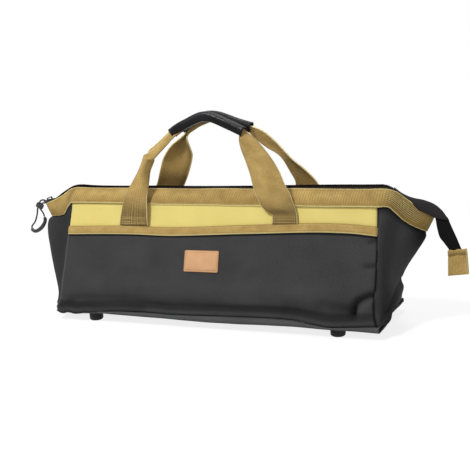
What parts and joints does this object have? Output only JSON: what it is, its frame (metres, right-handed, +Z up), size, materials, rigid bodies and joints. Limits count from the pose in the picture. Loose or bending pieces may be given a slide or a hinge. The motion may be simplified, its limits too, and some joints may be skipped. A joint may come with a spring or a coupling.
{
  "type": "tent stake bag",
  "caption": "Soft holdall for tent stakes with a zipped gable mouth, sleeved webbing handles, folded end wings and a stiffened base on feet.",
  "frame": {"origin": "On the floor under the middle of the bag's box, measured without the zip pull's cord, bead and grip; the feet stand at z = 0.", "axes": "+X runs along the bag from the end with the zip slider to the end with the tail; -Y is the front, with the patch; +Z is up."},
  "size_m": [0.6087, 0.137, 0.2665],
  "materials": {
    "black_canvas": "plain woven heavy polyester canvas, matt",
    "yellow_canvas": "plain woven heavy polyester canvas, matt",
    "tan_webbing": "ribbed webbing with paler edges",
    "zip_tape": "close woven tape",
    "zip_coil": "moulded zip teeth",
    "leather": "smooth tan leather, blank",
    "grip_vinyl": "glossy soft vinyl",
    "board": "plain plastic sheet",
    "foot_rubber": "moulded rubber",
    "steel": "zinc plated",
    "slider_metal": "black coated die casting",
    "cord": "braided cord",
    "pull_plastic": "moulded soft plastic"
  },
  "bodies": {
    "shell": {"base_panel": "black_canvas", "base_board": "board", "foot_front_left": "foot_rubber", "foot_front_right": "foot_rubber", "foot_rear_right": "foot_rubber", "foot_rear_left": "foot_rubber", "foot_washer_front_left": "steel", "foot_washer_front_right": "steel", "foot_washer_rear_right": "steel", "foot_washer_rear_left": "steel", "foot_screw_front_left": "steel", "foot_screw_front_right": "steel", "foot_screw_rear_right": "steel", "foot_screw_rear_left": "steel", "gusset_left": "black_canvas", "gusset_right": "black_canvas", "wing_band_left": "tan_webbing", "wing_band_right": "tan_webbing", "wing_zip_tape_left": "zip_tape", "wing_zip_tape_right": "zip_tape", "wing_zip_chain_left": "zip_coil", "wing_zip_chain_right": "zip_coil", "zip_end_stop": "slider_metal", "zip_tail_fold": "zip_tape"},
    "front_wall": {"front_lower_panel": "black_canvas", "front_upper_panel": "yellow_canvas", "front_seam_tape": "tan_webbing", "front_strap_root_left": "tan_webbing", "front_strap_root_right": "tan_webbing", "front_mouth_band": "tan_webbing", "zip_tape_front": "zip_tape", "zip_chain_front": "zip_coil", "leather_patch": "leather"},
    "rear_wall": {"rear_lower_panel": "black_canvas", "rear_upper_panel": "yellow_canvas", "rear_seam_tape": "tan_webbing", "rear_strap_root_left": "tan_webbing", "rear_strap_root_right": "tan_webbing", "rear_mouth_band": "tan_webbing", "zip_tape_rear": "zip_tape", "zip_chain_rear": "zip_coil"},
    "front_handle": {"handle_strap_front": "tan_webbing", "handle_grip_front": "grip_vinyl"},
    "rear_handle": {"handle_strap_rear": "tan_webbing", "handle_grip_rear": "grip_vinyl"},
    "zip_slider": {"slider_body": "slider_metal", "slider_bridge": "slider_metal"},
    "zip_ring": {"pull_ring": "slider_metal"},
    "zip_pull": {"pull_cord": "cord", "pull_bead": "cord", "pull_grip": "pull_plastic"},
    "zip_tail": {"zip_tail_end": "zip_tape", "tail_tab": "tan_webbing"}
  },
  "joints": [
    {"name": "front_wall_open", "type": "hinge", "parent": "shell", "child": "front_wall", "pos_m": [-0.01787, -0.0685, 0.0135], "axis": [1, 0, 0], "range_deg": [0, 16.9]},
    {"name": "rear_wall_open", "type": "hinge", "parent": "shell", "child": "rear_wall", "pos_m": [-0.01787, 0.0685, 0.0135], "axis": [-1, 0, 0], "range_deg": [0, 16.9]},
    {"name": "front_handle_swing", "type": "hinge", "parent": "front_wall", "child": "front_handle", "pos_m": [-0.02737, -0.03177, 0.14129], "axis": [1, 0, 0], "range_deg": [0, 165]},
    {"name": "rear_handle_swing", "type": "hinge", "parent": "rear_wall", "child": "rear_handle", "pos_m": [-0.02737, 0.03177, 0.14129], "axis": [-1, 0, 0], "range_deg": [0, 165]},
    {"name": "zip_slide", "type": "slide", "parent": "shell", "child": "zip_slider", "axis": [0.9368, 0, 0.3498], "range_m": [0, 0.04]},
    {"name": "ring_lift", "type": "hinge", "parent": "zip_slider", "child": "zip_ring", "pos_m": [-0.2808, 0, 0.15192], "axis": [0, 1, 0], "range_deg": [0, 152]},
    {"name": "pull_swing", "type": "hinge", "parent": "zip_ring", "child": "zip_pull", "pos_m": [-0.29017, 0, 0.14842], "axis": [0, 1, 0], "range_deg": [0, 45]},
    {"name": "tail_swing", "type": "hinge", "parent": "shell", "child": "zip_tail", "pos_m": [0.2607, -0.008, 0.12931], "axis": [0.9839, 0, -0.1789], "range_deg": [-35, 40]}
  ],
  "couplings": [
    {"joint": "ring_lift", "follows": "zip_slide", "rad_per_m": 65.4}
  ]
}
